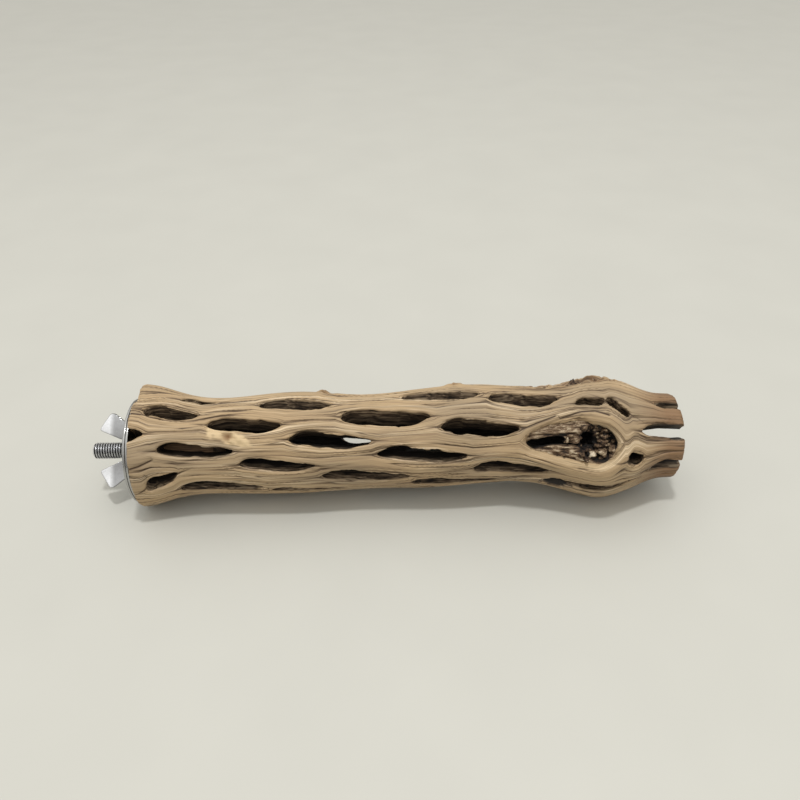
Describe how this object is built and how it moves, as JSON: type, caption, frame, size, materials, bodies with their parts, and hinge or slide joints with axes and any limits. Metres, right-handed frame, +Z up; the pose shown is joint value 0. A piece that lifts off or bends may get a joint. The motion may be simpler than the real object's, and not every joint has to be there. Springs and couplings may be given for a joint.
{
  "type": "cholla wood bird perch",
  "caption": "Hollow lattice stem of cholla cactus skeleton with a branch-scar knob, a threaded stud, wide washers and a wing nut to clamp it to a cage as a bird perch.",
  "frame": {"origin": "middle of the part's box, on the surface that it lies on", "axes": "+X along the stem from the sawn base with the stud to the tip beyond the knob, -Y to the front with the branch scar, +Z up"},
  "size_m": [0.2794, 0.0608, 0.0587],
  "materials": {
    "cholla_wood": "dry weathered cactus wood, unfinished, with grain that flows round the eyes",
    "dowel_wood": "plain turned dowel, unfinished",
    "zinc_steel": "bright zinc-plated steel"
  },
  "bodies": {
    "perch": {"cholla_stem": "cholla_wood", "base_plug": "dowel_wood", "hanger_bolt": "zinc_steel", "inner_washer": "zinc_steel"},
    "clamp_washer": {"outer_washer": "zinc_steel"},
    "wing_nut": {"wing_nut": "zinc_steel"}
  },
  "joints": [
    {"name": "washer_travel", "type": "slide", "parent": "perch", "child": "clamp_washer", "axis": [-1, 0, 0], "range_m": [0, 0.012]},
    {"name": "nut_turn", "type": "hinge", "parent": "clamp_washer", "child": "wing_nut", "pos_m": [-0.118, -0.00035, 0.02536], "axis": [-1, 0, 0], "range_deg": [0, 2880]}
  ],
  "couplings": [
    {"joint": "washer_travel", "follows": "nut_turn", "m_per_rad": 0.00019894}
  ]
}
